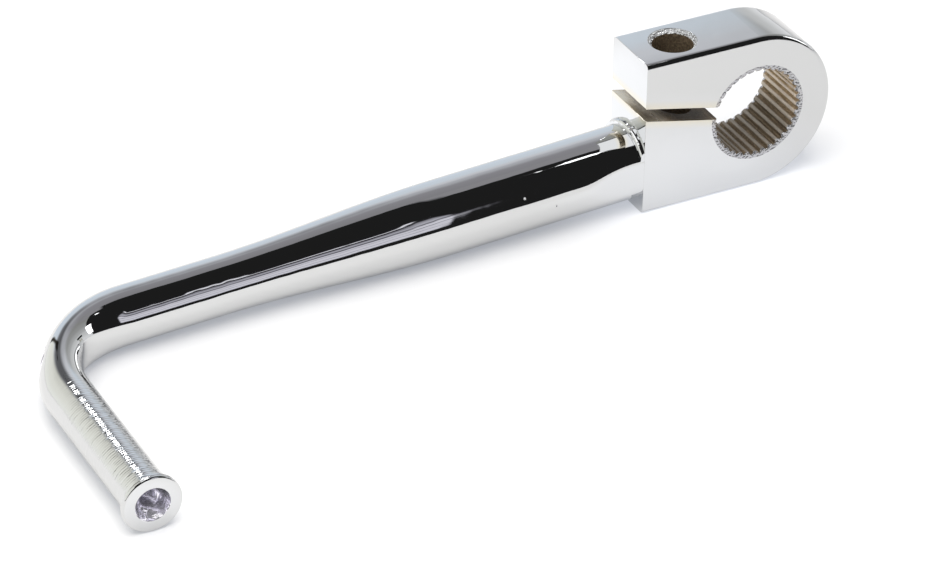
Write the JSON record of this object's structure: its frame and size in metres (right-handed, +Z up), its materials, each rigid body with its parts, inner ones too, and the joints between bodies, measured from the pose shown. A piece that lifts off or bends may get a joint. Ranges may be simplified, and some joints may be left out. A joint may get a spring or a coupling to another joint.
{
  "type": "kick start lever",
  "caption": "Chrome kick start lever: slit clamp head with a serrated bore, tapered bar bent into a flanged foot peg.",
  "frame": {"origin": "on the bore's axis, halfway through the thickness of the clamp head", "axes": "+Y along the bore towards the engine, so the foot peg points to -Y; +X along the head, with the arm on the -X side; +Z up as the lever lies at rest"},
  "size_m": [0.1799, 0.0704, 0.034],
  "materials": {
    "chrome_head": "polished chrome plate outside, bare rough steel in the bore, slit and bolt hole",
    "chrome_arm": "polished chrome plate over drawn and turned bar",
    "chrome_weld": "chrome plate over a rippled weld bead"
  },
  "bodies": {
    "root": {"clamp_head": "chrome_head", "arm": "chrome_arm", "weld_bead": "chrome_weld"}
  },
  "joints": []
}
